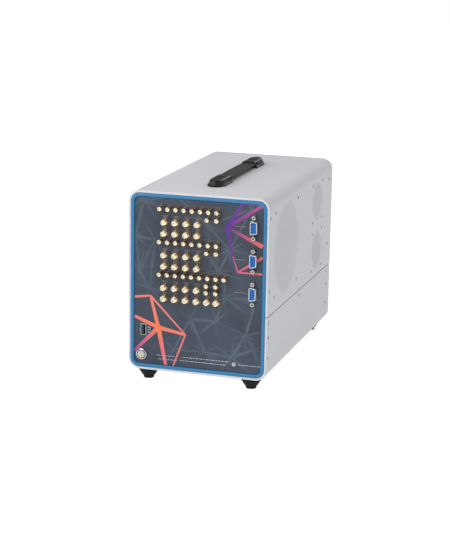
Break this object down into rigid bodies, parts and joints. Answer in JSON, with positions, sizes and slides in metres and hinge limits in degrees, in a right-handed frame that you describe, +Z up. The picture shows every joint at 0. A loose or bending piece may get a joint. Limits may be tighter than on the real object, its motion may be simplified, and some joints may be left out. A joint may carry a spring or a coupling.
{
  "type": "multi-port network analyzer",
  "caption": "Bench instrument in a rounded sheet-metal case with coaxial test jacks, control connectors, side fans, carrying strap and rubber feet.",
  "frame": {"origin": "on the surface that the feet stand on, below the middle of the instrument's bounding box", "axes": "+X to the right seen from the front, +Y from the front panel to the back, +Z up"},
  "size_m": [0.1784, 0.336, 0.2472],
  "materials": {
    "cover_paint": "fine textured pale grey powder coat",
    "trim_blue": "satin blue paint",
    "panel_print": "dark slate printed film with coloured line pattern, satin",
    "jack_gold": "gold plated, polished",
    "connector_steel": "bright nickel plate",
    "zinc_steel": "zinc plated sheet",
    "aluminium_case": "clear chromated, milled",
    "connector_blue": "moulded blue nylon",
    "rubber_dark": "matte moulded rubber",
    "plastic_black": "fine grained moulded plastic",
    "button_cream": "translucent pale lens, satin",
    "board_green": "solder mask"
  },
  "bodies": {
    "chassis": {"upper_cover": "cover_paint", "lower_cover": "cover_paint", "large_screen": "cover_paint", "upper_screen": "cover_paint", "lower_screen": "cover_paint", "intake_screen": "cover_paint", "front_frame": "cover_paint", "rear_frame": "cover_paint", "rear_panel": "cover_paint", "side_rail_left": "zinc_steel", "side_rail_right": "zinc_steel", "chassis_shelf": "zinc_steel", "front_trim_ring": "trim_blue", "front_panel": "panel_print", "small_jacks_1": "jack_gold", "small_jacks_2": "jack_gold", "small_jacks_3": "jack_gold", "large_jacks_1": "jack_gold", "large_jacks_2": "jack_gold", "large_jacks_3": "jack_gold", "dsub_shell_1": "connector_steel", "dsub_shell_2": "connector_steel", "dsub_shell_3": "connector_steel", "dsub_insert_1": "connector_blue", "dsub_insert_2": "connector_blue", "dsub_insert_3": "connector_blue", "usb_shell": "connector_steel", "usb_tongue": "connector_blue", "button_housing": "connector_steel", "large_fan_frame": "plastic_black", "upper_fan_frame": "plastic_black", "lower_fan_frame": "plastic_black", "handle_cap_front": "plastic_black", "handle_cap_rear": "plastic_black", "handle_strap": "rubber_dark", "foot_front_left": "rubber_dark", "foot_front_right": "rubber_dark", "foot_rear_left": "rubber_dark", "foot_rear_right": "rubber_dark", "rf_module_1": "aluminium_case", "rf_module_2": "aluminium_case", "rf_module_3": "aluminium_case", "backplane": "board_green", "power_supply": "aluminium_case", "controller_board": "board_green", "power_inlet": "plastic_black", "switch_bezel": "plastic_black", "network_port": "connector_steel", "reference_jacks": "connector_steel", "earth_post": "connector_steel"},
    "large_rotor": {"large_fan_rotor": "plastic_black"},
    "upper_rotor": {"upper_fan_rotor": "plastic_black"},
    "lower_rotor": {"lower_fan_rotor": "plastic_black"},
    "button_cap": {"power_button": "button_cream"},
    "rocker": {"switch_rocker": "plastic_black"}
  },
  "joints": [
    {"name": "large_fan_spin", "type": "hinge", "parent": "chassis", "child": "large_rotor", "pos_m": [0.0743, -0.07875, 0.1651], "axis": [1, 0, 0], "continuous": true},
    {"name": "upper_fan_spin", "type": "hinge", "parent": "chassis", "child": "upper_rotor", "pos_m": [0.0743, 0.07765, 0.194], "axis": [1, 0, 0], "continuous": true},
    {"name": "lower_fan_spin", "type": "hinge", "parent": "chassis", "child": "lower_rotor", "pos_m": [0.0743, 0.07765, 0.129], "axis": [1, 0, 0], "continuous": true},
    {"name": "power_button_press", "type": "slide", "parent": "chassis", "child": "button_cap", "axis": [0, 1, 0], "range_m": [0, 0.0018], "stiffness_N_per_m": 900},
    {"name": "power_switch_rock", "type": "hinge", "parent": "chassis", "child": "rocker", "pos_m": [0.021, 0.15635, 0.054], "axis": [1, 0, 0], "range_deg": [0, 16]}
  ]
}
